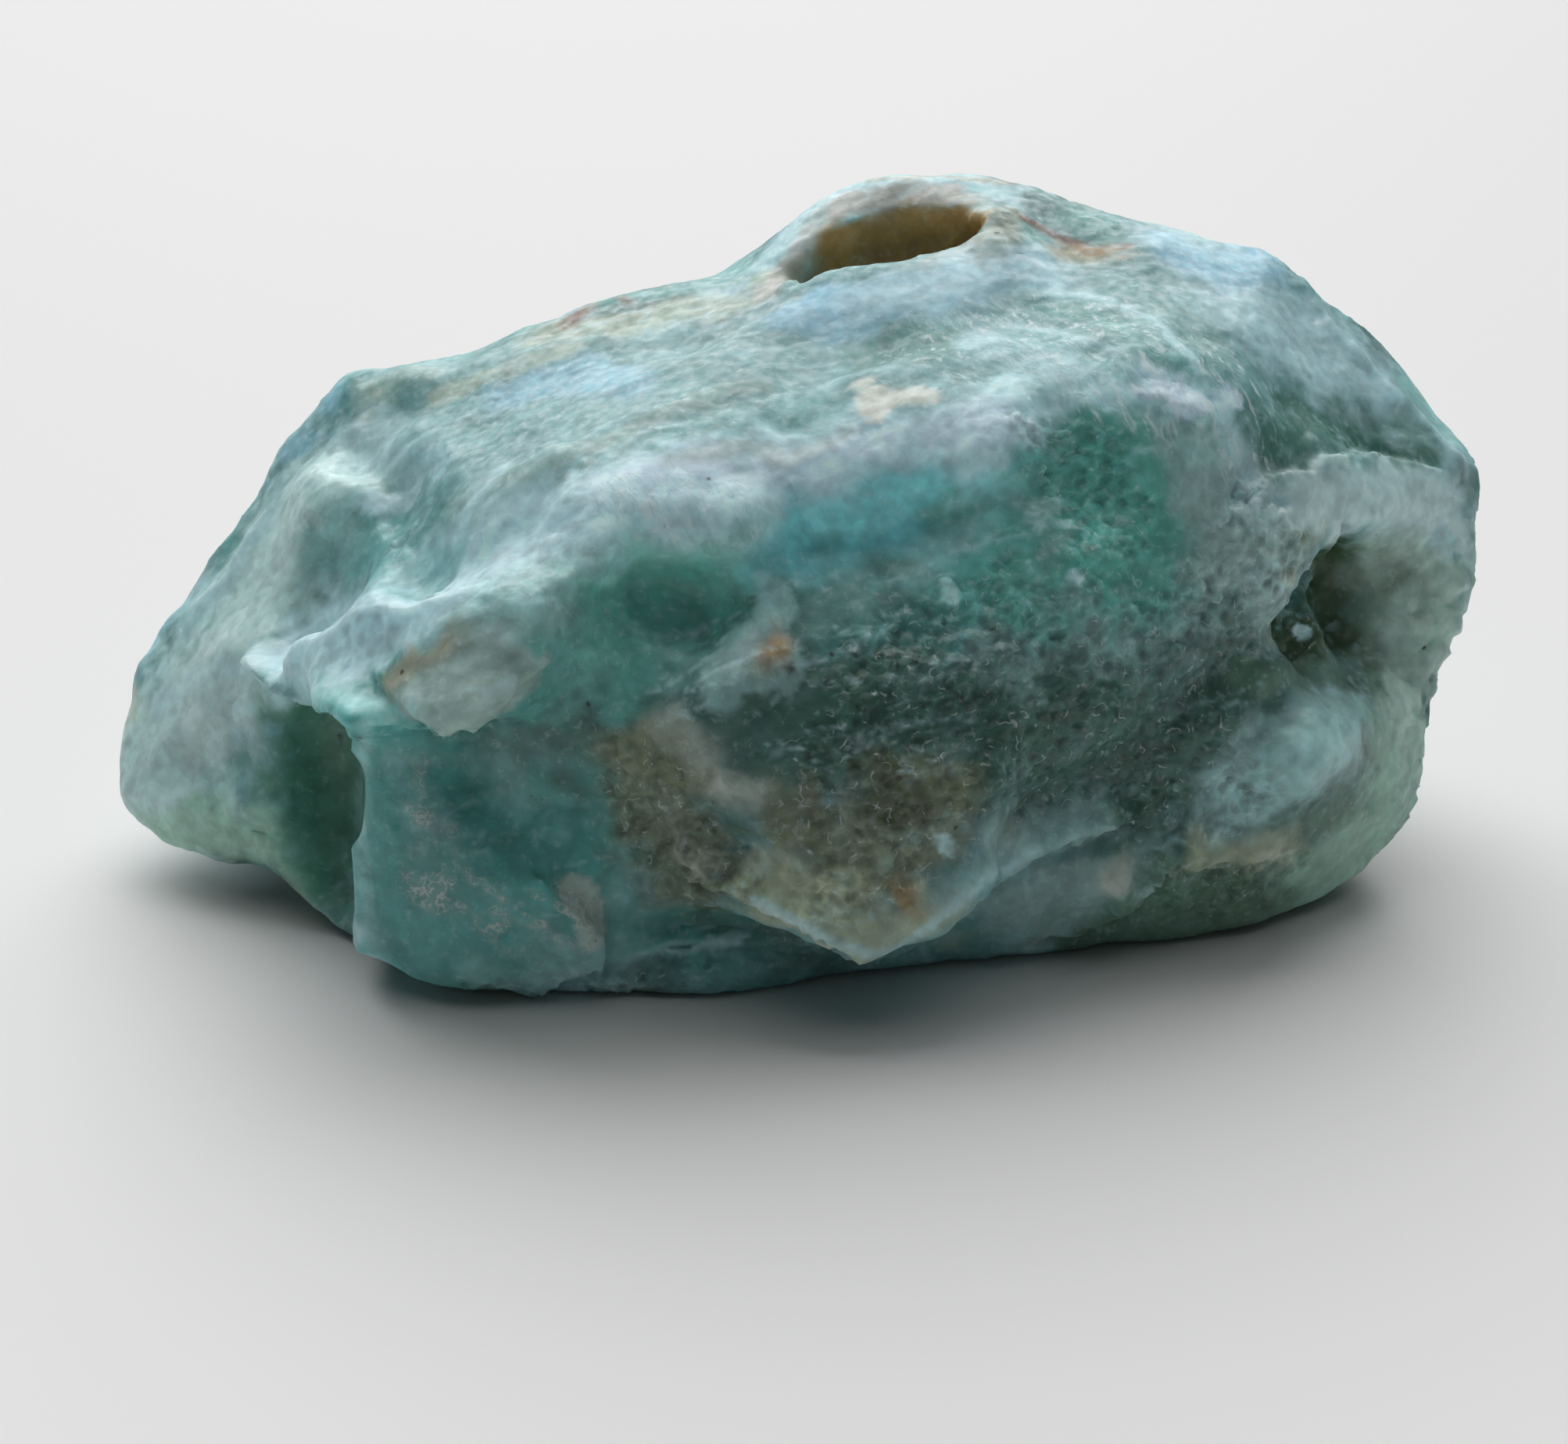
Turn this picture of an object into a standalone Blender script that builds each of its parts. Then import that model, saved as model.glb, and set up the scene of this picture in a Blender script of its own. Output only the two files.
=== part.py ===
"""A raw chunk of blue-green aragonite, broken on every side: one solid stone, lying on its underside.

+X runs along the stone, -Y is its steep broken face and +Z is up. The origin is under the middle of the
stone, at the height of the flat it rests on. Places below are in millimetres from a point near there, and
the finished mesh is in metres.
"""

import math

import bmesh
import bpy
import numpy as np
from mathutils import Euler, Vector, noise

MM = 0.001

# Driving dimensions: the overall size of the stone, in millimetres.
LENGTH = 62.5
DEPTH = 37.7
HEIGHT = 30.3

# The underside is flat at this height, and takes in what comes this near to it.
FOOT = 0.3
FOOT_REACH = 0.06

# Roughness of the broken faces: low rounded swells, and tilted flat chips that meet at small steps.
SWELL_SIZE, SWELL_HEIGHT = 6.0, 0.35
CHIP_SIZE, CHIP_TILT = 4.5, 0.3
CHIP_EDGE_WAVE, CHIP_EDGE_SIZE = 1.2, 3.0
SEED = 7

# Fineness at which the joined blocks are worked, and what is left of it at the end.
VOXEL = 0.55
ROUNDING_PASSES = 4
MOST_TRIANGLES = 9300
WELD = 0.08
COLOUR = (0.30, 0.50, 0.49, 1.0)

# The stone is a cluster of convex broken blocks. Each is the hull of its corners.
BLOCKS = {
    "core": [
        (-17.2, -12.0, 15.4), (-12.2, -12.8, 18.8), (-5.2, -12.0, 22.0), (6.0, -10.2, 23.4),
        (15.6, -9.2, 24.2), (19.0, -8.2, 22.8), (-16.8, -14.8, 12.0), (-13.4, -16.4, 8.5),
        (-1.0, -17.2, 13.0), (8.8, -16.4, 13.0), (17.5, -12.4, 13.5), (-17.8, -14.8, 2.4),
        (-13.4, -15.4, 0.2), (-8.8, -16.2, 0.0), (-4.4, -16.2, 0.0), (1.2, -14.2, 0.0),
        (10.0, -11.6, 0.0), (20.3, -10.6, 0.2), (-18.2, 5.0, 21.9), (-9.0, 5.2, 25.0), (2.0, 6.0, 27.4),
        (14.4, 6.0, 29.3), (18.0, 6.0, 28.3), (22.8, 5.4, 27.1), (24.0, 2.0, 10.0), (18.0, 15.0, 21.0),
        (6.0, 16.4, 23.0), (-10.0, 14.0, 18.0), (-16.0, 11.0, 14.0), (20.0, 16.0, 8.0),
        (4.0, 18.4, 12.0), (-12.0, 14.0, 4.0), (14.0, 13.0, 0.0), (-4.0, 12.0, 0.0),
    ],
    "rear": [
        (26.6, 9.6, 18.6), (27.6, 8.4, 10.4), (25.6, 8.4, 3.6), (16.0, 14.6, 2.6), (21.4, 15.2, 12.4),
        (17.0, 15.4, 20.6), (24.0, 7.4, 24.0), (10.0, -6.0, 6.0), (12.0, -4.0, 20.0), (23.0, -6.5, 2.6),
        (28.4, -1.5, 9.6), (28.2, 0.4, 17.0), (26.8, 3.0, 3.6),
    ],
    "left_wedge": [
        (-20.0, 5.0, 22.2), (-24.4, 4.2, 18.2), (-28.0, 2.2, 12.7), (-30.8, 0.0, 8.8),
        (-31.4, -3.2, 4.6), (-30.6, -4.4, 3.0), (-28.9, -5.4, 2.2), (-26.5, -6.4, 2.3),
        (-23.6, -8.4, 2.9), (-21.0, -10.4, 1.9), (-16.0, -12.6, 1.2), (-19.5, -9.0, 12.5),
        (-14.0, -8.0, 16.0), (-22.0, 10.0, 12.0), (-25.0, 8.0, 4.0), (-14.0, 12.0, 16.0),
        (-12.0, 8.0, 1.0),
    ],
    "brow": [
        (-23.0, -9.2, 12.2), (-20.0, -10.2, 14.6), (-17.0, -9.4, 17.0), (-12.2, -13.0, 19.2),
        (-9.1, -13.0, 20.8), (-5.2, -12.0, 22.4), (-16.6, -15.2, 12.8), (-12.8, -18.0, 12.9),
        (-11.3, -18.2, 13.1), (-9.5, -17.0, 15.0), (-12.0, -8.0, 12.0), (-4.0, -10.0, 14.0),
    ],
    "front_plate": [
        (-17.8, -15.2, 8.0), (-17.9, -15.0, 2.6), (-16.8, -16.2, 1.5), (-15.0, -16.6, 0.9),
        (-12.8, -16.9, 1.0), (-10.1, -17.4, 1.8), (-7.4, -17.8, 2.6), (-7.3, -18.0, 4.4),
        (-9.6, -17.9, 6.6), (-13.5, -17.0, 9.5), (-16.0, -15.6, 11.0), (-12.0, -12.0, 3.0),
        (-12.0, -12.0, 9.0),
    ],
    "lower_lip": [
        (-4.7, -16.8, 5.4), (-0.1, -18.4, 5.2), (3.2, -19.3, 3.8), (4.4, -19.1, 3.9), (6.5, -18.2, 5.1),
        (8.9, -16.8, 7.0), (-3.0, -17.6, 12.5), (3.0, -18.2, 11.0), (9.0, -17.0, 11.0),
        (2.0, -12.0, 6.0),
    ],
    "crest": [
        (-2.4, 5.6, 26.4), (0.6, 6.2, 28.8), (2.0, 6.6, 30.0), (4.2, 7.0, 30.7), (8.5, 7.6, 30.8),
        (11.1, 7.4, 30.2), (15.0, 6.4, 29.2), (-1.0, 0.6, 25.3), (2.6, 0.2, 26.9), (4.4, 0.2, 27.4),
        (6.8, 0.8, 27.8), (9.2, 2.2, 28.6), (2.4, 10.2, 28.4), (9.2, 11.2, 28.6), (15.6, 11.6, 25.2),
        (-5.4, 10.4, 23.6), (5.0, 5.0, 20.0), (1.0, 15.0, 23.6), (9.0, 15.8, 23.4), (-6.0, 9.0, 20.6),
        (0.0, 13.6, 20.0), (9.0, 14.6, 19.6),
    ],
    "right_end": [
        (22.4, 5.0, 27.2), (25.4, 4.4, 24.8), (28.2, 4.4, 22.9), (31.2, 2.6, 19.6), (31.5, 0.4, 18.7),
        (31.3, -1.4, 15.9), (19.0, -8.4, 22.8), (20.8, -9.2, 17.4), (23.6, -7.6, 17.2),
        (25.4, -5.8, 18.1), (24.0, 10.0, 20.0), (28.0, 8.0, 13.0), (18.0, 4.0, 14.0),
    ],
    "right_wall": [
        (31.4, -1.4, 16.4), (31.0, -2.6, 13.4), (30.2, -3.8, 10.8), (28.4, -3.6, 8.6),
        (22.0, -4.0, 16.4), (22.0, -5.8, 9.0), (28.0, 8.0, 12.0), (18.0, 4.0, 10.0), (20.0, 6.0, 17.0),
    ],
    "right_foot": [
        (29.2, -4.2, 9.8), (28.6, -5.4, 6.5), (28.7, -5.6, 4.0), (27.9, -5.8, 2.0), (26.3, -6.8, 1.0),
        (24.2, -8.2, 0.5), (20.4, -10.7, 0.2), (21.6, -12.0, 8.8), (25.6, -8.4, 9.8),
        (18.0, -12.6, 6.0), (25.0, 8.8, 3.6), (28.2, 7.6, 9.4), (14.0, 2.0, 4.0), (28.9, 2.0, 11.6),
        (29.6, -2.0, 10.8), (18.4, -12.4, 10.2), (20.6, -10.9, 11.2),
    ],
    "right_lobe": [
        (22.9, -7.6, 18.0), (22.3, -8.2, 16.4), (21.0, -9.2, 15.0), (18.8, -11.2, 12.9),
        (16.6, -12.6, 12.0), (17.0, -11.6, 18.0), (20.6, -9.4, 19.6), (19.6, -4.0, 14.6),
        (18.0, -6.0, 19.0),
    ],
    "underside": [
        (-10.4, -16.4, 0.2), (-6.4, -16.9, 0.0), (-4.0, -16.6, 0.2), (-10.0, -15.4, 2.4),
        (-2.0, -15.0, 2.6), (-8.0, -10.0, 0.0),
    ],
}

# Hollows broken out of the blocks: centre, radii, and the turn of each ellipsoid in degrees about the axes.
HOLLOWS = {
    "under_brow": ((-20.8, -13.6, 7.6), (4.0, 6.0, 5.4), (0, 10, -20)),
    "crater": ((4.5, 3.0, 26.6), (4.7, 2.3, 3.2), (30, -19, 6)),
    "scoop": ((24.6, -7.0, 14.2), (3.6, 3.4, 3.0), (0, 10, 32)),
    "beside_foot": ((13.0, -17.0, 2.6), (6.0, 3.6, 3.0), (0, -8, 8)),
}

# Swells (+) and dents (-) worked into the faces: the path, how far it reaches to each side, and its height.
STROKES = {
    "main_ridge": (
        [(-16, -12, 16.2), (-9, -13, 20.8), (-5, -12, 22.4), (2.5, -11.8, 22.8), (9, -10, 24)], 2.2, 0.7,
    ),
    "pocket_below_ridge": ([(-5.4, -13.4, 18.2), (-3.0, -14.2, 16.4)], 3.8, -1.7),
    "smooth_dent": ([(0.6, -13.2, 20.2), (4.6, -13.0, 20.4)], 4.6, -1.3),
    "green_dent": ([(10.0, -12.4, 21.0), (12.5, -12.0, 20.5)], 3.6, -0.8),
    "rib": ([(-0.4, -15.0, 18.2), (-1.4, -16.4, 15.4), (-4.2, -17.4, 12.6)], 2.2, 1.1),
    "brow_knob": ([(-13.0, -17.0, 14.6), (-11.0, -16.6, 15.6)], 2.6, 0.7),
    "brow_edge": (
        [(-21.4, -10.6, 13.4), (-16.6, -15.6, 13.0), (-13.2, -18.0, 13.2), (-11.4, -17.8, 13.8)], 1.4, 0.6,
    ),
    "under_brow_edge": ([(-17.2, -15.6, 11.4), (-13.0, -17.2, 11.2), (-10.4, -17.4, 12.0)], 1.3, -0.8),
    "brow_crease": ([(-15.2, -15.0, 14.4), (-13.4, -14.0, 17.2)], 1.6, -0.6),
    "plate_dent": ([(-12.0, -17.0, 10.4), (-8.0, -17.2, 9.4)], 3.6, -1.2),
    "rough_pit": ([(-5.6, -17.6, 8.4), (-4.4, -17.6, 6.4)], 2.4, -1.0),
    "belly": ([(2.0, -17.6, 13.0), (7.0, -17.0, 12.0)], 5.0, 0.7),
    "lip_edge": ([(-4.4, -17.2, 5.6), (0, -18.6, 5.2), (4.2, -19.2, 4.4), (8.6, -17.4, 7.0)], 1.4, 0.4),
    "under_lip": ([(-5, -16.0, 3.6), (0, -17.2, 3.0), (4.2, -17.6, 2.2), (9.4, -15.4, 4.6)], 2.0, -1.3),
    "lower_bulge": ([(13.0, -14.6, 4.6), (16.4, -13.4, 4.2)], 3.0, 0.8),
    "trough": ([(18.4, -11.8, 12.6), (14.8, -14.4, 9.8), (11.0, -16.0, 8.4)], 2.6, -1.3),
    "foot_swell": ([(20.6, -12.0, 9.0), (23.6, -10.4, 9.6)], 3.2, 1.0),
    "shoulder_dent": ([(-18.4, -4.6, 15.6), (-15.0, -4.4, 17.2)], 4.2, -1.5),
    "shoulder_rib": ([(-20.0, 1.0, 19.6), (-17.0, 2.0, 20.6), (-10.0, 1.0, 23.0)], 2.4, 0.5),
    "top_valley": ([(-13.0, -2.6, 20.0), (-9.0, -2.0, 22.0), (-4.0, -1.4, 23.4)], 2.8, -0.8),
    "top_pocket": ([(0.2, -6.4, 22.4), (1.6, -6.0, 23.4)], 2.2, -0.9),
    "top_step": ([(2.6, -7.6, 23.4), (7.0, -6.6, 24.8), (12.0, -6.0, 25.4)], 1.6, 0.4),
    "facet_dent": ([(21.0, -4.6, 22.0), (25.6, -2.4, 20.8)], 3.0, -0.7),
    "tip_crease": ([(-28.4, -2.8, 9.0), (-26.0, -3.8, 10.2), (-22.0, -5.6, 12.0)], 1.8, 0.5),
    "tip_hollow": ([(-27.4, 1.0, 12.0), (-24.6, 2.6, 16.6)], 2.4, -0.6),
    "rear_dent": ([(-6.0, 17.0, 13.0), (2.0, 18.4, 9.0)], 5.0, -1.2),
    "rear_rib": ([(8.0, 18.4, 16.0), (13.0, 17.0, 6.0)], 2.6, 0.9),
    "rear_trough": ([(-14.0, 12.6, 12.0), (-18.0, 9.8, 6.0)], 3.0, -0.9),
}


def clear_scene():
    for obj in list(bpy.data.objects):
        bpy.data.objects.remove(obj)


def link(name, mesh):
    obj = bpy.data.objects.new(name, mesh)
    bpy.context.scene.collection.objects.link(obj)
    return obj


def hull(name, corners):
    """A convex block: the hull of its corners."""
    bm = bmesh.new()
    for corner in corners:
        bm.verts.new(Vector(corner) * MM)
    made = bmesh.ops.convex_hull(bm, input=bm.verts)
    bmesh.ops.delete(bm, geom=made["geom_interior"], context="VERTS")
    bmesh.ops.recalc_face_normals(bm, faces=bm.faces)
    mesh = bpy.data.meshes.new(name)
    bm.to_mesh(mesh)
    bm.free()
    return link(name, mesh)


def ellipsoid(name, centre, radii, turn):
    bm = bmesh.new()
    bmesh.ops.create_icosphere(bm, subdivisions=3, radius=1.0)
    bmesh.ops.scale(bm, vec=Vector(radii) * MM, verts=bm.verts)
    rotation = Euler([math.radians(a) for a in turn]).to_matrix()
    bmesh.ops.rotate(bm, matrix=rotation, verts=bm.verts)
    bmesh.ops.translate(bm, vec=Vector(centre) * MM, verts=bm.verts)
    mesh = bpy.data.meshes.new(name)
    bm.to_mesh(mesh)
    bm.free()
    return link(name, mesh)


def baked(obj):
    """Replaces the object's mesh by what its modifiers make of it."""
    bpy.context.view_layer.update()
    graph = bpy.context.evaluated_depsgraph_get()
    mesh = bpy.data.meshes.new_from_object(obj.evaluated_get(graph))
    obj.modifiers.clear()
    obj.data = mesh
    return obj


def combine(stone, other, operation):
    modifier = stone.modifiers.new(operation.lower(), "BOOLEAN")
    modifier.operation = operation
    modifier.object = other
    baked(stone)
    bpy.data.objects.remove(other)


def rough_block():
    stone = hull("aragonite", BLOCKS["core"])
    for name in list(BLOCKS)[1:]:
        combine(stone, hull(name, BLOCKS[name]), "UNION")
    for name, (centre, radii, turn) in HOLLOWS.items():
        combine(stone, ellipsoid(name, centre, radii, turn), "DIFFERENCE")
    remesh = stone.modifiers.new("even", "REMESH")
    remesh.mode = "VOXEL"
    remesh.voxel_size = VOXEL * MM
    smooth = stone.modifiers.new("soften", "SMOOTH")
    smooth.factor = 0.5
    smooth.iterations = ROUNDING_PASSES
    return baked(stone)


def distance_to(points, path):
    """How far each point lies from the path, in millimetres."""
    least = np.full(len(points), np.inf)
    for start, end in zip(path[:-1], path[1:]):
        start = np.array(start)
        along = np.array(end) - start
        share = np.clip((points - start) @ along / (along @ along), 0, 1)
        least = np.minimum(least, np.linalg.norm(points - start - share[:, None] * along, axis=1))
    return least


def work_faces(stone):
    """Pushes the surface in and out along the strokes, then roughens it as broken stone."""
    mesh = stone.data
    points = np.array([vertex.co for vertex in mesh.vertices]) / MM
    normals = np.array([vertex.normal for vertex in mesh.vertices])
    rise = np.zeros(len(points))
    for path, reach, height in STROKES.values():
        near = np.clip(1 - distance_to(points, path) / reach, 0, 1)
        rise += height * near * near * (3 - 2 * near)
    rise += [roughness(Vector(point)) for point in points]
    mesh.vertices.foreach_set("co", ((points + rise[:, None] * normals) * MM).ravel())
    mesh.update()


def roughness(point):
    """Relief of the broken faces at a place: low swells, then flat chips that step at their edges."""
    swell = SWELL_HEIGHT * noise.fractal(point / SWELL_SIZE, 0.8, 2.1, 3)
    bent = point + CHIP_EDGE_WAVE * noise.noise_vector(point / CHIP_EDGE_SIZE)
    centre = noise.voronoi(bent / CHIP_SIZE)[1][0]
    tilt = CHIP_TILT * noise.noise_vector(centre * 7.3)
    chip = (bent / CHIP_SIZE - centre).dot(tilt)
    return swell + chip


def flatten_foot(stone):
    """Flattens the underside at the foot, so that the stone rests on one flat."""
    for vertex in stone.data.vertices:
        if vertex.co.z < (FOOT + FOOT_REACH) * MM:
            vertex.co.z = FOOT * MM
    stone.data.update()


def tidy(stone):
    """Welds the shortest edges and leaves one closed, outward-facing body of triangles."""
    bm = bmesh.new()
    bm.from_mesh(stone.data)
    bmesh.ops.remove_doubles(bm, verts=bm.verts, dist=WELD * MM)
    bmesh.ops.dissolve_degenerate(bm, dist=WELD * MM / 4, edges=bm.edges)
    bmesh.ops.triangulate(bm, faces=bm.faces)
    crumbs = [vertex for island in islands(bm)[1:] for vertex in island]
    bmesh.ops.delete(bm, geom=crumbs, context="VERTS")
    bmesh.ops.recalc_face_normals(bm, faces=bm.faces)
    bm.to_mesh(stone.data)
    bm.free()


def islands(bm):
    """The separate pieces of the mesh as lists of vertices, the largest first."""
    found = []
    left = set(bm.verts)
    while left:
        island = [left.pop()]
        for vertex in island:
            for edge in vertex.link_edges:
                other = edge.other_vert(vertex)
                if other in left:
                    left.remove(other)
                    island.append(other)
        found.append(island)
    return sorted(found, key=len, reverse=True)


def fit_to_size(stone):
    """Brings the stone to its overall size, with the origin under its middle."""
    points = np.array([vertex.co for vertex in stone.data.vertices])
    low, high = points.min(axis=0), points.max(axis=0)
    wanted = np.array([LENGTH, DEPTH, HEIGHT]) * MM
    middle = np.array([(low[0] + high[0]) / 2, (low[1] + high[1]) / 2, low[2]])
    stone.data.vertices.foreach_set("co", ((points - middle) * wanted / (high - low)).ravel())
    stone.data.update()


def coloured(stone):
    material = bpy.data.materials.new("blue-green aragonite")
    material.use_nodes = True
    surface = material.node_tree.nodes["Principled BSDF"]
    surface.inputs["Base Color"].default_value = COLOUR
    surface.inputs["Roughness"].default_value = 0.45
    surface.inputs["Metallic"].default_value = 0.0
    stone.data.materials.clear()
    stone.data.materials.append(material)


def thin_out(stone):
    count = sum(len(face.vertices) - 2 for face in stone.data.polygons)
    decimate = stone.modifiers.new("thin_out", "DECIMATE")
    decimate.ratio = MOST_TRIANGLES / count
    decimate.use_collapse_triangulate = True
    baked(stone)


def main():
    clear_scene()
    noise.seed_set(SEED)
    stone = rough_block()
    work_faces(stone)
    flatten_foot(stone)
    thin_out(stone)
    flatten_foot(stone)
    tidy(stone)
    fit_to_size(stone)
    coloured(stone)


main()
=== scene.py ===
"""The raw aragonite, dressed: one lump of translucent blue-green stone on a pale table.

Lengths are in millimetres until they reach Blender, which takes metres. Strokes that carve or
colour the stone are paths over the picture frame, dropped onto it along the camera's rays.
"""

import math
from functools import cached_property

import bmesh
import bpy
import numpy as np
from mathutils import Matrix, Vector, noise
from mathutils.bvhtree import BVHTree


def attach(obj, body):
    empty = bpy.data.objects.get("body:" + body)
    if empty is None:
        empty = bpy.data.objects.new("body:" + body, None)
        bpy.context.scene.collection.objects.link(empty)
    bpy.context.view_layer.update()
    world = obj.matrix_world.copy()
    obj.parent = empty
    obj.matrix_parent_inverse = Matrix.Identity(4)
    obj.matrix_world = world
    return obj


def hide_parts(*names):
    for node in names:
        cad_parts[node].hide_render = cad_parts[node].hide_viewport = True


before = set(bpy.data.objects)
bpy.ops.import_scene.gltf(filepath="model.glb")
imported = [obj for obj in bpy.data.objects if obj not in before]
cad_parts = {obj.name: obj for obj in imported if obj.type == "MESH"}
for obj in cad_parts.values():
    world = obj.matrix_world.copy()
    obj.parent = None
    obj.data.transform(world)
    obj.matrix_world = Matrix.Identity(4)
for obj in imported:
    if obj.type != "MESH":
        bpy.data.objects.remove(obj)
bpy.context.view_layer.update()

MM = 0.001

# The view: where the camera stands, in the stone's frame, and how it looks.
FRAME_WIDTH, FRAME_HEIGHT = 2006, 1848
FOCAL_PIXELS = 2500.0
CAMERA_PLACE = np.array([-0.35, -85.25, 40.3])
CAMERA_DIP = math.atan(1004 / FOCAL_PIXELS)
SENSOR_WIDTH = 36.0
CLIP_START = 0.001
RIGHT = np.array([1.0, 0.0, 0.0])
FORWARD = np.array([0.0, math.cos(CAMERA_DIP), -math.sin(CAMERA_DIP)])
UP = np.array([0.0, math.sin(CAMERA_DIP), math.cos(CAMERA_DIP)])

# The soft lights: the way each one shines, its strength, and its breadth in degrees.
WINDOW = ((0.08, -0.77, -0.92), 2.85, 72)
CEILING = ((0.02, -0.2, -1.0), 0.74, 80)
ROOM_COLOUR = (0.93, 0.97, 1.0, 1)
ROOM_STRENGTH = 0.048

# The floor, with half its side in metres.
FLOOR_HALF = 6.0
FLOOR_COLOUR = (0.77, 0.77, 0.765, 1)
FLOOR_ROUGHNESS = 0.7

# Fineness of the mesh in mm, and how often it is smoothed: before its worn edges are rounded
# off, and after that, for carving.
ROUGH_GRAIN, ROUGH_PASSES = 0.5, 6
FINE_GRAIN, FINE_PASSES = 0.22, 3

# How often the worn edges are smoothed, and how much each time, here and above.
MELTING_PASSES = 150
SMOOTHING = 0.5

# The triangles that the mesh may keep.
MOST_TRIANGLES = 196000

# A stroke's path is dropped onto the stone at steps of this many pixels.
STROKE_STEP = 14

# Noise's layers: how fast they weaken, how much finer each is, and how many there are.
FRACTAL = (1.0, 2.1, 3)

# Noise that bends strokes: its size in mm, a shift for each direction, and the most it may be.
DRIFT_SIZE = 2.6
DRIFT_SHIFTS = (5.0, 45.0, 85.0)
DRIFT_MOST = 1.5

# Noise that tears a colour's edge, and noise that makes a carved form ragged: sizes in mm.
TEARING_SIZE, TEARING_SHIFT, TEARING_SHARE = 0.9, 60.0, 0.3
WANDER_SIZE, WANDER_SHIFT = 1.6, 3.7

# How carving strokes are shaped. A ledge rises over a short way, and a strip below it is cut in
# by a share of its height. The strip's middle and reach are in mm.
CREST_POWER = 1.5
LEDGE_RISE = 0.3
UNDERCUT_SHARE, UNDERCUT_MIDDLE, UNDERCUT_REACH = 0.5, 0.45, 0.5
WAYS = {"forward": np.array([0.0, -1.0, 0.0]), "raised": np.array([0.0, 0.0, 1.0])}

# How colouring strokes are shaped: the share of its reach that a stroke fades over, how far out
# it may tear, and how far it may bend, as a share of its reach and in mm at most.
SOFT_EDGE = 0.8
CRISP_EDGE = 0.2
TORN_REACH = 1.6
BEND_SHARE, BEND_MOST = 0.6, 1.4

# How steeply the share that a stroke marks rises from its edge, and its bend in mm.
MARK_STEEPNESS = 1.6
MARK_BEND = 1.0

# How granular the stone is away from all strokes: at least, and how much more in patches.
GRIT_LEAST, GRIT_MORE = 0.08, 0.35
GRIT_PATCHES = dict(size=6.0, shift=9.0, low=0.0, high=0.5)

# The crater's middle, how far its stained wall reaches from there in mm, the stain's strength,
# and how it grows as the wall turns to the middle.
CRATER_PLACE = np.array([4.5, 3.0, 26.6])
CRATER_REACH = 5.6
CRATER_STAIN = 0.85
CRATER_STEEPNESS, CRATER_BIAS = 2.5, -0.5

# How a share grows as the stone turns to an axis. A larger bias takes more of it in.
BACKWARD, UPWARD = 1, 2
FACING_STEEPNESS = 2.0
TOP_BIAS, VEINED_BIAS, BACK_BIAS = -0.4, -0.2, 0.2

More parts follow.
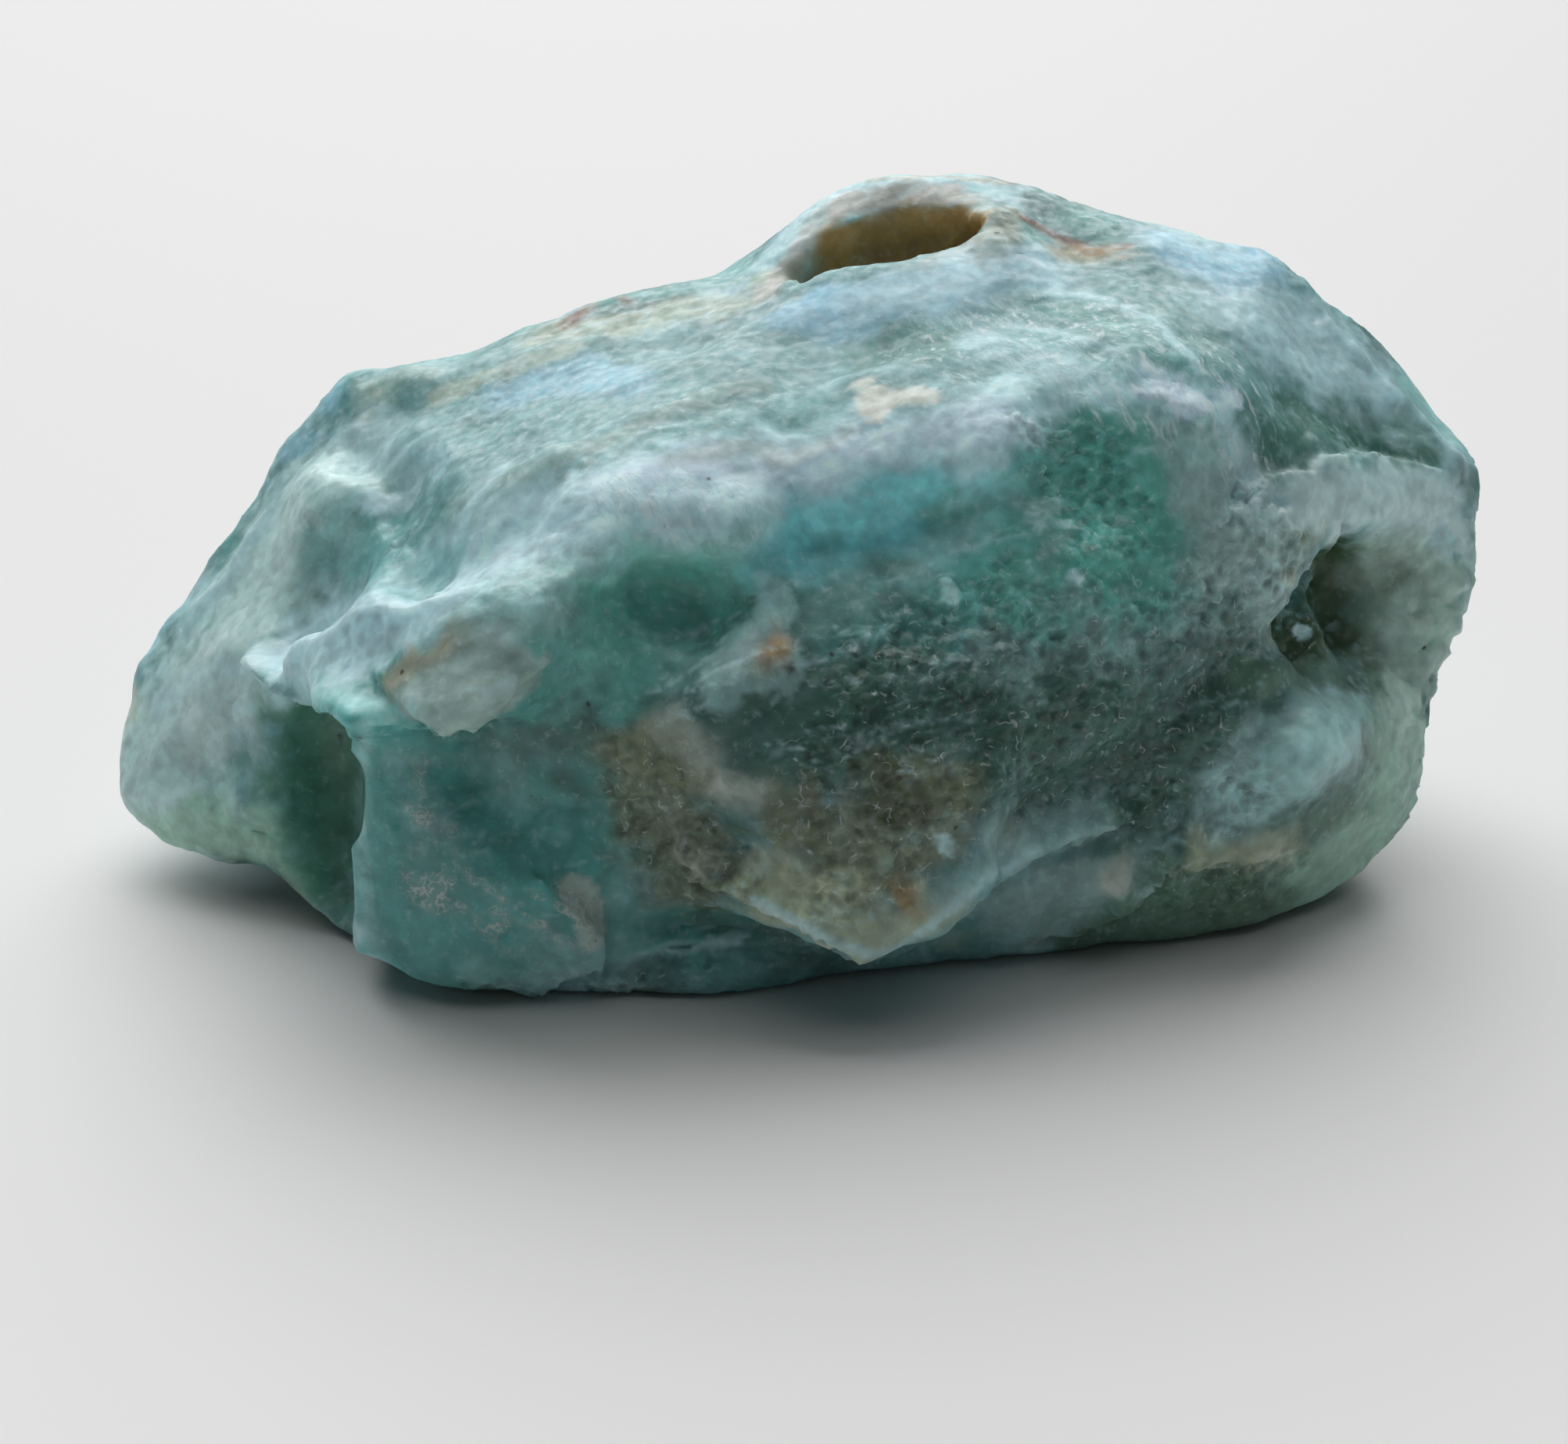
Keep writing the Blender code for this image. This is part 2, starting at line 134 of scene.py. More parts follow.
# Carving strokes: kind, reach, height and raggedness in mm, and the path in pixels.
# A "swell" is rounded, and a "crest" comes to an edge.
# A "ledge" stands proud on one side: above its path, where the path runs to the right.
# A "forward" swell moves straight to the front, and a "raised" one straight up.
CARVING = {
    "shelf": ("forward", 3.6, 0.9, 0.3, [(480, 890), (560, 895), (640, 870), (700, 820), (745, 770)]),
    "spike": ("crest", 1.2, 0.7, 0.0, [(332, 852), (365, 862), (400, 874)]),
    "spike filled": ("forward", 1.3, 0.45, 0.1, [(371, 838), (374, 862)]),
    "wedge foot": ("raised", 1.8, 0.9, 0.2, [(306, 1096), (342, 1104)]),
    "block foot": ("raised", 3.0, -1.2, 0.2, [(432, 1146), (456, 1160)]),
    "brow front": ("forward", 2.0, 0.9, 0.1, [(360, 862), (390, 876), (420, 890), (470, 902)]),
    "ridge back": ("raised", 4.2, -1.5, 0.2, [(430, 772), (500, 722), (580, 685), (660, 655)]),
    "valley side": ("raised", 3.0, -0.9, 0.2, [(520, 640), (530, 700)]),
    "hill filled": ("raised", 2.8, 0.35, 0.1, [(525, 575), (555, 612)]),
    "slope filled": ("raised", 3.6, 1.1, 0.1, [(402, 645), (424, 690), (448, 742)]),
    "valley": ("raised", 4.0, 1.3, 0.2, [(410, 700), (470, 700), (480, 750)]),
    "skyline": ("raised", 2.6, 0.6, 0.1, [(470, 497), (520, 492)]),
    "ridge left": ("crest", 1.2, 0.3, 0.1, [(345, 843), (400, 820), (477, 792), (560, 765)]),
    "ridge shoulder": ("swell", 3.0, 0.6, 0.3, [
        (540, 800), (600, 750), (680, 705), (760, 660), (840, 645), (920, 645)]),
    "brow edge": ("ledge", 1.1, 0.35, 0.08, [
        (330, 853), (390, 882), (465, 907), (540, 915), (575, 937), (612, 928), (650, 885)]),
    "knob rim": ("ledge", 1.3, 0.3, 0.1, [(498, 866), (540, 905), (575, 930), (640, 895), (690, 850)]),
    "knob crown": ("crest", 1.4, 0.3, 0.15, [(498, 866), (545, 830), (600, 800)]),
    "block edge": ("crest", 0.9, 0.35, 0.1, [(463, 915), (457, 1000), (459, 1100), (463, 1190)]),
    "hollow": ("swell", 2.8, -1.3, 0.2, [(405, 920), (425, 1000), (430, 1090)]),
    "wedge crease": ("crest", 1.6, 0.4, 0.1, [(154, 1008), (240, 1036), (330, 1036)]),
    "wedge facet": ("swell", 1.8, -0.3, 0.2, [(230, 980), (300, 960)]),
    "lip edge": ("ledge", 2.6, 0.6, 0.15, [
        (905, 1132), (960, 1152), (1000, 1172), (1060, 1205), (1119, 1224), (1160, 1210), (1190, 1190),
        (1260, 1128), (1324, 1090), (1400, 1066)]),
    "plate step": ("ledge", 1.3, 0.35, 0.2, [(770, 1240), (768, 1195), (735, 1165), (695, 1130)]),
    "ridge front": ("forward", 3.2, 1.0, 0.2, [(680, 745), (760, 705), (850, 695), (940, 690)]),
    "ridge front middle": ("forward", 2.4, 0.6, 0.2, [(790, 680), (850, 668), (905, 664)]),
    "ridge front right": ("forward", 2.6, 0.9, 0.2, [
        (980, 640), (1010, 630), (1120, 610), (1220, 585), (1300, 560)]),
    "pocket": ("swell", 2.6, -0.4, 0.3, [(850, 700), (880, 760)]),
    "dent": ("swell", 3.2, -0.2, 0.3, [(1060, 660), (1120, 640)]),
    "under dent": ("forward", 2.4, -0.5, 0.2, [(1030, 755), (1100, 740)]),
    "dip filled": ("raised", 2.2, 0.8, 0.1, [(630, 640), (700, 602)]),
    "green dent": ("swell", 2.4, -0.4, 0.4, [(1340, 560), (1400, 640)]),
    "crumb": ("swell", 0.55, 0.4, 0.1, [(1212, 750), (1220, 762)]),
    "ledge hole": ("swell", 0.5, -0.45, 0.15, [(1636, 634), (1646, 640)]),
    "ledge pit": ("swell", 0.4, -0.3, 0.15, [(1585, 632), (1592, 645)]),
    "ledge top": ("ledge", 1.6, 0.22, 0.3, [
        (1826, 598), (1760, 576), (1700, 583), (1680, 602), (1627, 606), (1592, 640)]),
    "scoop edge": ("ledge", 1.6, 0.35, 0.12, [
        (1668, 826), (1652, 795), (1660, 760), (1689, 730), (1708, 680)]),
    "scoop floor": ("swell", 2.2, -0.6, 0.2, [(1700, 730), (1705, 790)]),
    "trough filled": ("swell", 2.8, 1.0, 0.2, [(1620, 862), (1590, 880), (1540, 930)]),
    "pit filled": ("swell", 2.2, 1.3, 0.1, [(1640, 806), (1664, 846)]),
    "lower bulge": ("swell", 2.4, 0.5, 0.3, [(1310, 1150), (1400, 1130)]),
    "bulge knob": ("swell", 0.9, 0.5, 0.2, [(1432, 1120), (1430, 1150)]),
    "bulge edge": ("ledge", 1.8, 0.4, 0.25, [
        (1290, 1200), (1380, 1190), (1440, 1165), (1500, 1110), (1600, 1100)]),
    "belly shelf": ("ledge", 2.0, 0.35, 0.3, [
        (700, 1262), (760, 1232), (850, 1215), (950, 1208), (1030, 1215)]),
    "tan mound": ("swell", 2.6, 0.4, 0.4, [(820, 1020), (860, 1080)]),
    "tan hollow": ("swell", 1.6, -0.5, 0.3, [(905, 1060), (960, 1110)]),
    "lip mound": ("swell", 2.8, 0.35, 0.4, [(1080, 1100), (1160, 1080)]),
    "crater front": ("raised", 5.0, 1.15, 0.1, [
        (1085, 382), (1140, 376), (1200, 364), (1240, 350), (1258, 335)]),
    "crater lip": ("crest", 0.7, 0.3, 0.12, [
        (1000, 382), (1080, 350), (1130, 335), (1200, 325), (1245, 292)]),
    "left rib": ("crest", 1.2, 0.3, 0.3, [(235, 800), (290, 740), (340, 660)]),
    "top rib": ("crest", 1.3, 0.1, 0.3, [(575, 650), (700, 590), (800, 540), (960, 490)]),
    "top pocket": ("swell", 1.8, -0.15, 0.2, [(1010, 545), (1060, 530)]),
    "facet edge": ("crest", 1.2, 0.35, 0.2, [(1640, 330), (1700, 420), (1760, 480), (1860, 590)]),
    "facet dent": ("swell", 2.8, -0.3, 0.3, [(1640, 560), (1760, 570)]),
    # A plate at the top right; its glint is painted white in the colouring, as a painted highlight.
    "plate with painted glint": ("forward", 0.9, 0.5, 0.15, [(1478, 500), (1505, 508), (1535, 525)]),
}

# Places on the stone: reach in mm and the path in pixels. Worn edges, rounded off before it is
# carved; needles side by side; curly crusts of fine needles; and granular stone.
MELTED = [
    (3.4, [
        (560, 760), (700, 680), (830, 620), (940, 620), (1060, 600), (1200, 550), (1300, 520),
        (1480, 500)]),
    (4.0, [(400, 800), (460, 745), (540, 700), (640, 660)]),
    (4.5, [(410, 700), (480, 690), (550, 660)]),
    (3.2, [(1480, 1000), (1560, 920), (1610, 870), (1700, 860), (1760, 900), (1750, 980), (1680, 1050)]),
    (1.8, [(1710, 692), (1780, 690), (1860, 690)]),
    (2.4, [(600, 515), (700, 485), (800, 465)]),
    (3.0, [(510, 600), (570, 600), (660, 590), (760, 560)]),
    (2.8, [(1640, 790), (1662, 840)]),
    (2.2, [(980, 555), (1060, 540)]),
    (1.7, [(371, 832), (373, 866)]),
    (1.8, [(1282, 1050), (1282, 1112)]),
    (2.6, [(200, 900), (280, 780), (360, 640)]),
]

FIBROUS = [
    (4.0, [(1250, 440), (1400, 420), (1500, 470), (1560, 480)]),
    (2.5, [(1400, 500), (1560, 520), (1600, 600)]),
    (2.0, [(810, 640), (870, 640), (930, 650)]),
]

CURLED = [
    (1.2, [(545, 1015), (560, 1060)]),
    (1.5, [(545, 1130), (590, 1140)]),
    (1.3, [(640, 1170), (700, 1190), (750, 1200)]),
    (1.0, [(730, 1150), (755, 1200)]),
]

GRANULAR = [
    (4.5, [(1150, 860), (1300, 820), (1500, 830), (1600, 760)]),
    (4.5, [(1250, 980), (1400, 960), (1550, 1000)]),
    (3.2, [(820, 1000), (860, 1080), (900, 1120)]),
    (3.6, [(1080, 1000), (1130, 1080), (1060, 1120)]),
    (2.6, [(1330, 560), (1400, 640), (1420, 700)]),
    (2.2, [(1600, 650), (1640, 700), (1650, 780)]),
    (2.0, [(1480, 1120), (1560, 1150), (1660, 1100)]),
    (1.4, [(620, 1255), (760, 1275), (900, 1250)]),
]

# Colours of the stone, as screen values from 0 to 255. A few strokes below use them as painted shade or
# painted highlights.
PALETTE = {
    "sea": (122, 174, 176), "pale sea": (214, 249, 248), "slate": (68, 105, 95), "teal": (94, 174, 170),
    "hollow": (107, 164, 142), "moss": (179, 227, 207), "milk": (196, 240, 247), "snow": (201, 239, 247),
    "mist": (183, 229, 230), "pocket": (118, 204, 190), "jade": (108, 183, 176),
    "lagoon": (136, 229, 236), "emerald": (90, 177, 165), "cream": (206, 215, 205),
    "tan": (124, 133, 106), "dark tan": (78, 88, 67), "lip": (196, 208, 178), "ledge": (212, 244, 247),
    "rim": (171, 196, 190), "orange": (164, 118, 60), "rust": (126, 66, 26), "deep slate": (67, 106, 94),
    "low green": (99, 137, 117), "swell": (182, 229, 230), "ice": (192, 233, 241),
    "sky": (158, 216, 238), "blue": (158, 219, 239), "facet": (82, 136, 123), "wall": (197, 228, 217),
    "olive": (65, 93, 59), "ochre": (196, 164, 104), "brown": (184, 148, 84), "aqua": (172, 232, 230),
    "valley": (110, 186, 184), "shade": (156, 192, 189), "frost": (194, 195, 187),
    "white": (210, 236, 254), "chip": (230, 240, 230), "black": (18, 17, 14),
}

# Drifting bands and patches over the whole stone: colour, size in mm, the noise's shift, the
# noise where the colour begins and where it is full, and its strength there.
NATURAL = [
    ("slate", 11.0, 3.0, -0.1, 0.4, 0.85),
    ("jade", 9.0, 17.0, 0.0, 0.5, 0.8),
    ("milk", 8.0, 31.0, 0.05, 0.6, 0.9),
    ("teal", 7.0, 47.0, 0.2, 0.7, 0.8),
    ("sky", 6.0, 61.0, 0.3, 0.8, 0.7),
    ("lip", 5.5, 77.0, 0.35, 0.8, 0.8),
    ("tan", 4.5, 91.0, 0.45, 0.8, 0.7),
]

# Pale veins lie where noise is near 0: its size in mm and its shift, how near, and how strong
# they are. Streaks on the top are drawn the same way.
VEIN_SIZE, VEIN_SHIFT = 8.0, 120.0
VEIN_NEAR, STREAK_NEAR = 0.04, 0.07
VEIN_STRENGTH = 0.4
TOP_VEINS = dict(along=(1.0, 0.2, 0.35), length=9.0, width=1.5, shift=140.0)

# Colouring strokes, in the order they go on: colour, strength, reach in mm, and the path in
# pixels. A crisp one hardly fades.
COLOURING = [
    # Broad fields of colour.
    ("sea", 0.9, 9.0, [(560, 560), (900, 480), (1300, 420), (1600, 400)]),
    ("slate", 0.9, 8.5, [(760, 950), (900, 900), (1200, 850), (1500, 850), (1600, 1000)]),
    ("deep slate", 0.7, 4.0, [(1060, 900), (1200, 860), (1320, 930), (1420, 1000)]),
    ("pale sea", 0.85, 5.0, [(190, 1000), (240, 900), (330, 760), (400, 620)]),
    ("teal", 0.95, 5.0, [(540, 960), (540, 1180), (700, 1100)]),
    ("low green", 0.9, 4.0, [(1420, 1180), (1600, 1150), (1700, 1090)]),
    # The wedge's foot, the hollow, and the lower right corner.
    ("moss", 0.9, 1.8, [(180, 1062), (330, 1068), (400, 1110)]),
    ("hollow", 0.95, 3.2, [(415, 920), (425, 1010), (430, 1120)]),
    ("hollow", 0.9, 2.0, [(440, 930), (445, 1020), (440, 1100)]),
    ("moss", 0.8, 3.0, [(1790, 930), (1780, 1040), (1700, 1130)]),
    # Pockets and pale patches below the ridge.
    ("mist", 0.6, 3.0, [(600, 770), (700, 720), (640, 800)]),
    ("mist", 0.4, 3.0, [(1300, 800), (1420, 780), (1500, 760)]),
    ("pocket", 0.95, 3.0, [(800, 770), (850, 720), (900, 750)]),
    ("jade", 0.8, 2.4, [(680, 880), (760, 850), (830, 830)]),
    ("lagoon", 0.95, 4.4, [(1050, 665), (1070, 710), (1150, 690), (1190, 640)]),
    ("teal", 0.5, 2.6, [(1060, 760), (1160, 750), (1260, 720)]),
    ("deep slate", 0.7, 1.8, [(1035, 775), (1120, 765), (1180, 770)]),
    ("shade", 0.8, 3.4, [(1500, 640), (1530, 710)]),
    ("emerald", 0.85, 3.8, [(1350, 540), (1390, 600), (1450, 700)]),
    ("emerald", 0.6, 2.6, [(1260, 690), (1320, 780)]),
    ("mist", 0.25, 1.2, [(1230, 540), (1260, 600), (1250, 660), (1180, 730)]),
    # The left block.
    ("mist", 0.3, 1.3, [(520, 1000), (560, 1060)]),
    ("mist", 0.3, 1.1, [(640, 960), (660, 1020)]),
    ("deep slate", 0.5, 1.6, [(590, 935), (650, 930)]),
    ("mist", 0.5, 0.4, [(466, 925), (462, 1000), (464, 1100), (470, 1180)]),
    # The brow, with its spike and its knob.
    ("snow", 0.85, 2.0, [(360, 850), (430, 840), (520, 800)]),
    ("aqua", 0.6, 0.8, [(400, 876), (460, 899), (530, 905)]),
    ("aqua", 0.5, 0.4, [(330, 856), (390, 882), (460, 905), (540, 913)]),
    ("snow", 0.8, 0.45, [(328, 851), (365, 866), (400, 880)]),
    ("rim", 0.8, 1.9, [(545, 868), (580, 890), (625, 862)], "crisp"),
    ("ochre", 0.35, 0.7, [(500, 868), (545, 835), (600, 808)]),
    ("tan", 0.35, 0.9, [(590, 812), (645, 800)]),
    # The bright ridge, from the brow to the upper right.
    ("snow", 0.95, 2.2, [(420, 800), (520, 755), (600, 705), (720, 650), (830, 610), (940, 620)]),
    ("snow", 0.95, 2.2, [(1000, 590), (1060, 585), (1120, 570), (1200, 545), (1290, 520)]),
    ("white", 0.8, 1.6, [(790, 630), (830, 618), (900, 606)]),
    ("white", 0.5, 1.2, [(980, 602), (1060, 586), (1120, 571), (1290, 522)]),
    ("mist", 0.4, 1.5, [(620, 790), (700, 735), (800, 695), (900, 685), (960, 670)]),
    ("snow", 0.9, 1.3, [(560, 765), (680, 695), (780, 645), (900, 638), (960, 630)]),
    ("snow", 0.9, 0.8, [(350, 842), (410, 815), (477, 790), (580, 760), (653, 712)]),
    ("milk", 0.4, 0.6, [(725, 700), (755, 725), (790, 735), (785, 705)]),
    ("milk", 0.9, 1.5, [(1300, 500), (1400, 490), (1500, 500)]),
    ("mist", 0.6, 1.6, [(1520, 515), (1560, 560), (1590, 620)]),
    # Shade by the scoop, and the pale patch with its rusty spot.
    ("shade", 0.8, 2.2, [(1560, 660), (1620, 700), (1640, 770)]),
    ("deep slate", 0.8, 1.4, [(1640, 820), (1665, 850)]),
    ("mist", 0.5, 1.0, [(994, 764), (980, 800)], "crisp"),
    ("mist", 0.5, 1.6, [(935, 850), (985, 842)], "crisp"),
    ("orange", 0.6, 1.0, [(990, 822), (985, 842)]),
    ("ochre", 0.5, 0.5, [(993, 822), (988, 832)]),
    # Black specks.
    ("black", 0.9, 0.22, [(1009, 855), (1012, 860)]),
    ("black", 0.8, 0.2, [(432, 942), (438, 950)]),
    ("black", 0.8, 0.18, [(455, 940), (458, 944)]),
    # The tan patches and the lower lip, with painted shade under the lip.
    ("cream", 0.5, 1.1, [(850, 930), (880, 960), (900, 985)]),
    ("cream", 0.5, 0.8, [(925, 1005), (965, 1020)]),
    ("tan", 0.85, 2.6, [(830, 990), (850, 1060), (880, 1120)]),
    ("tan", 0.85, 2.6, [(1040, 1080), (1120, 1080), (1170, 1040)]),
    ("dark tan", 0.6, 1.6, [(1110, 1000), (1150, 1030)]),
    ("cream", 0.5, 0.8, [(870, 1085), (900, 1100)]),
    ("lip", 0.8, 1.7, [(960, 1140), (1040, 1170), (1120, 1195), (1180, 1170)]),
    ("ochre", 0.7, 0.9, [(1160, 1138), (1166, 1148)]),
    ("milk", 0.7, 0.3, [(1203, 1074), (1212, 1086)], "crisp"),
    ("mist", 0.5, 1.4, [(1210, 1130), (1290, 1080), (1400, 1055)]),
    # Painted shade: deep slate laid in the shadow right under the lower lip.
    ("deep slate", 0.6, 1.1, [(900, 1172), (980, 1200), (1060, 1230)]),
    ("milk", 0.7, 0.3, [
        (960, 1150), (1000, 1170), (1060, 1203), (1119, 1221), (1160, 1207), (1190, 1187), (1260, 1125),
        (1324, 1087)]),
    # The lower right, and the swell above it.
    ("shade", 0.9, 2.0, [(1300, 1160), (1400, 1140)]),
    ("cream", 0.9, 0.7, [(1434, 1115), (1428, 1140)]),
    ("lip", 0.7, 1.2, [(1540, 1085), (1600, 1100), (1660, 1080)]),
    ("cream", 0.4, 0.5, [(1600, 1105), (1640, 1095)]),
    ("swell", 0.7, 3.0, [(1600, 1010), (1690, 950), (1715, 910)]),
    ("swell", 0.8, 1.6, [(1670, 970), (1720, 930)]),
    ("deep slate", 0.8, 2.0, [(1470, 990), (1540, 930), (1575, 880)]),
    # The scoop at the right end.
    ("wall", 0.9, 3.2, [(1770, 720), (1830, 780), (1790, 860)]),
    ("olive", 0.6, 2.6, [(1715, 730), (1735, 790), (1700, 840)]),
    ("olive", 0.95, 1.6, [(1700, 700), (1690, 760), (1710, 810)]),
    ("olive", 0.85, 1.1, [(1636, 806), (1650, 784), (1660, 824)]),
    ("olive", 0.6, 0.9, [(1672, 760), (1666, 800), (1676, 836)]),
    ("low green", 0.8, 1.0, [(1590, 862), (1660, 862), (1760, 872)]),
    # The facet and the ledge above the scoop.
    ("facet", 0.95, 2.4, [(1630, 550), (1700, 555), (1790, 570)]),
    ("ledge", 0.9, 2.0, [(1640, 640), (1720, 645), (1790, 635), (1855, 655)]),
    ("aqua", 0.9, 1.5, [(1810, 500), (1860, 560)]),
    # The top at the right, with a plate whose glint is painted white as a highlight, and curved growth
    # lines.
    ("ice", 0.9, 4.2, [(1560, 330), (1620, 400), (1720, 460)]),
    ("sky", 0.9, 2.0, [(1500, 320), (1560, 350), (1600, 335)]),
    ("sky", 0.7, 2.0, [(1080, 390), (1200, 370), (1300, 340)]),
    # Painted highlight: white laid where the plate's reflecting facets glint.
    ("white", 0.95, 0.9, [(1480, 488), (1505, 494), (1530, 515)], "crisp"),
    ("white", 0.9, 0.6, [(1550, 516), (1576, 508)], "crisp"),
    ("snow", 0.6, 0.9, [(1560, 530), (1590, 600), (1600, 640)]),
    ("milk", 0.65, 0.35, [(1300, 370), (1360, 372), (1420, 385), (1475, 410), (1520, 450), (1545, 490)]),
    ("jade", 0.5, 0.5, [(1330, 395), (1400, 405), (1450, 430), (1500, 465), (1540, 505)]),
    ("milk", 0.5, 0.35, [(1180, 410), (1280, 415), (1360, 425), (1440, 455), (1500, 485)]),
    ("jade", 0.4, 0.5, [(1240, 450), (1330, 440), (1410, 465), (1470, 490)]),
    # The crater, and the rusty streaks beside it.
    ("milk", 0.8, 1.8, [(1000, 320), (1060, 250), (1180, 236), (1280, 245)]),
    ("ochre", 0.9, 1.1, [(1066, 336), (1070, 325), (1110, 300), (1160, 288), (1215, 288), (1238, 284)]),
    ("frost", 0.9, 0.9, [(985, 375), (1010, 335), (1040, 292), (1090, 258), (1160, 246), (1235, 252)]),
    ("sky", 0.9, 1.3, [(1010, 405), (1090, 380), (1140, 368), (1200, 358), (1250, 340)]),
    ("snow", 0.7, 1.8, [(1120, 374), (1200, 362), (1280, 334), (1340, 340)]),
    ("tan", 0.6, 1.1, [(1258, 325), (1278, 300), (1290, 275)]),
    ("cream", 0.4, 0.6, [(1190, 335), (1240, 315), (1268, 290), (1300, 282)]),
    ("brown", 0.5, 0.35, [(1120, 229), (1200, 226), (1290, 234)]),
    ("rust", 0.8, 0.4, [(1310, 280), (1350, 300), (1400, 325), (1440, 315)]),
    ("ochre", 0.5, 1.0, [(1360, 325), (1420, 330)]),
    # Rusty spots on the skyline, and the cream chip.
    ("orange", 0.7, 0.8, [(730, 412), (745, 395)]),
    ("rust", 0.9, 0.45, [(730, 415), (740, 398)]),
    ("rust", 0.8, 0.35, [(795, 380), (800, 385)]),
    ("chip", 1.0, 0.55, [(1102, 492), (1112, 512), (1122, 532)], "crisp"),
    ("chip", 1.0, 0.5, [(1110, 500), (1145, 506), (1188, 504)], "crisp"),
    ("chip", 1.0, 0.5, [(1120, 510), (1140, 514), (1120, 526)], "crisp"),
    # The top at the left, down to the valley and the left side.
    ("cream", 0.4, 0.5, [(860, 590), (960, 570), (1000, 590), (1090, 555)]),
    ("snow", 0.6, 1.3, [(630, 640), (700, 602)]),
    ("lip", 0.2, 0.8, [(575, 650), (650, 600), (760, 570), (860, 520), (960, 490)]),
    ("sky", 0.7, 1.7, [(650, 500), (720, 480), (800, 490)]),
    ("blue", 0.6, 0.9, [(365, 580), (390, 570)]),
    ("lip", 0.5, 0.9, [(560, 510), (640, 480), (720, 445)]),
    ("lip", 0.55, 1.6, [(700, 430), (800, 410), (900, 390)]),
    ("valley", 0.6, 2.4, [(430, 690), (500, 720), (550, 740)]),
    ("snow", 0.5, 1.8, [(450, 560), (510, 578), (545, 592)]),
    ("snow", 0.9, 0.8, [(470, 645), (515, 648)]),
    ("snow", 0.6, 0.8, [(575, 690), (600, 640), (640, 600)]),
    ("snow", 0.7, 0.6, [(235, 800), (290, 740), (340, 660)]),
    ("snow", 0.6, 0.8, [(200, 900), (260, 860), (330, 850)]),
    ("valley", 0.4, 0.6, [(605, 552), (612, 560)]),
    # The top in the middle.
    ("jade", 0.4, 1.2, [(1010, 545), (1060, 530)]),
    ("jade", 0.8, 1.3, [(1120, 460), (1200, 440)]),
    ("slate", 0.5, 1.2, [(1120, 462), (1190, 446)]),
    ("snow", 0.7, 1.5, [(1250, 440), (1310, 448), (1370, 462)]),
    # Single crumbs, a painted glint on a grain, and pale plates low on the front.
    ("mist", 0.7, 0.4, [(1212, 750), (1220, 762)], "crisp"),
    # Painted highlight: a glint on a grain, laid as a small crisp snow speck.
    ("snow", 0.8, 0.25, [(1375, 738), (1382, 744)], "crisp"),
    ("snow", 0.9, 0.35, [(1660, 805), (1670, 811)], "crisp"),
    ("cream", 0.6, 0.9, [(740, 1150), (758, 1195)], "crisp"),
    ("milk", 0.5, 0.4, [(780, 1232), (830, 1222), (870, 1212), (940, 1206)]),
    ("mist", 0.3, 2.0, [(700, 1238), (790, 1246)]),
    ("mist", 0.35, 1.0, [(620, 1240), (700, 1262), (800, 1268)]),
]


# Relief over the whole stone, in mm: swells, chips, grains, the teeth of the right end, the
# broad facets behind, and the streaks of the top. Bends are noise that moves the cells' edges.
SWELLS = dict(size=4.0, amount=0.1, shift=11.0)
CHIPS = dict(size=2.2, shift=3.1)
CHIP_BENDS = dict(size=1.0, amount=0.3, shift=5.0)
GRAINS = dict(size=0.62, shift=8.3)
TEETH = dict(size=1.0, shift=15.7)
FACETS = dict(size=6.0, shift=21.3)
FACET_BENDS = dict(size=3.0, amount=0.6, shift=23.0)
STREAKS = dict(along=(1.0, 0.15, 0.4), length=6.0, width=1.2, shift=3.0)

# Their heights in mm, with what granular stone adds, and the share it takes from the streaks.
CHIP_HEIGHT, CHIP_MORE = 0.03, 0.03
GRAIN_HEIGHT, GRAIN_MORE = 0.004, 0.13
TOOTH_HEIGHT = 0.22
FACET_HEIGHT = 0.4
STREAK_HEIGHT, STREAK_LESS = 0.06, 0.6

# Where the right end has teeth, where the back has facets, and how both fade out, in mm.
END_START, END_TOP = 25, 20
BACK_TOP, BACK_REACH = 26, 25
FADE, TOP_FADE = 5, 4

# How a cell's place is mixed into its own tilt. Other numbers would do as well.
SCRAMBLE = 12.9898
MIX = ((1.0, 7.3), (3.1, 5.7), (4.3, 2.9))

# Colours that the material lays over the mesh's own, from 0 to 1.
VEIL_COLOUR = (0.06, 0.10, 0.11, 1)
PALE_NEEDLE = (0.72, 0.86, 0.88, 1)
DARK_NEEDLE = (0.22, 0.45, 0.43, 1)
CRUST_COLOUR, CRUST_STRENGTH = (0.62, 0.70, 0.66, 1), 0.85
GLINT_COLOUR = (0.70, 0.84, 0.85, 1)
FLECK_COLOUR = (0.12, 0.17, 0.17, 1)
BRIGHTEST = (0.90, 0.96, 0.96, 1)
SPECK_COLOUR = (0.05, 0.04, 0.02, 1)

# The way the needles lie, and the share that the place shrinks that way, to draw them out.
NEEDLE_WAY = (0.35, -0.5, -0.8)
NEEDLE_STRETCH = 0.82

# Ranges: from nothing to all, most of what noise gives, and the stone's roughness.
FULL = (0.0, 1.0)
MIDDLE = (0.3, 0.7)
ROUGHNESS = (0.32, 0.6)

# How much light the stone lets in, and how many metres it travels, by red, green and blue.
TRANSLUCENCE = 0.65
LIGHT_REACH = (0.0019, 0.0020, 0.0020)


def pixels_of(points):
    """Where the camera sees each point, in pixels of the picture frame."""
    seen = points - CAMERA_PLACE
    depth = seen @ FORWARD
    across = FRAME_WIDTH / 2 + FOCAL_PIXELS * (seen @ RIGHT) / depth
    down = FRAME_HEIGHT / 2 - FOCAL_PIXELS * (seen @ UP) / depth
    return np.column_stack([across, down])


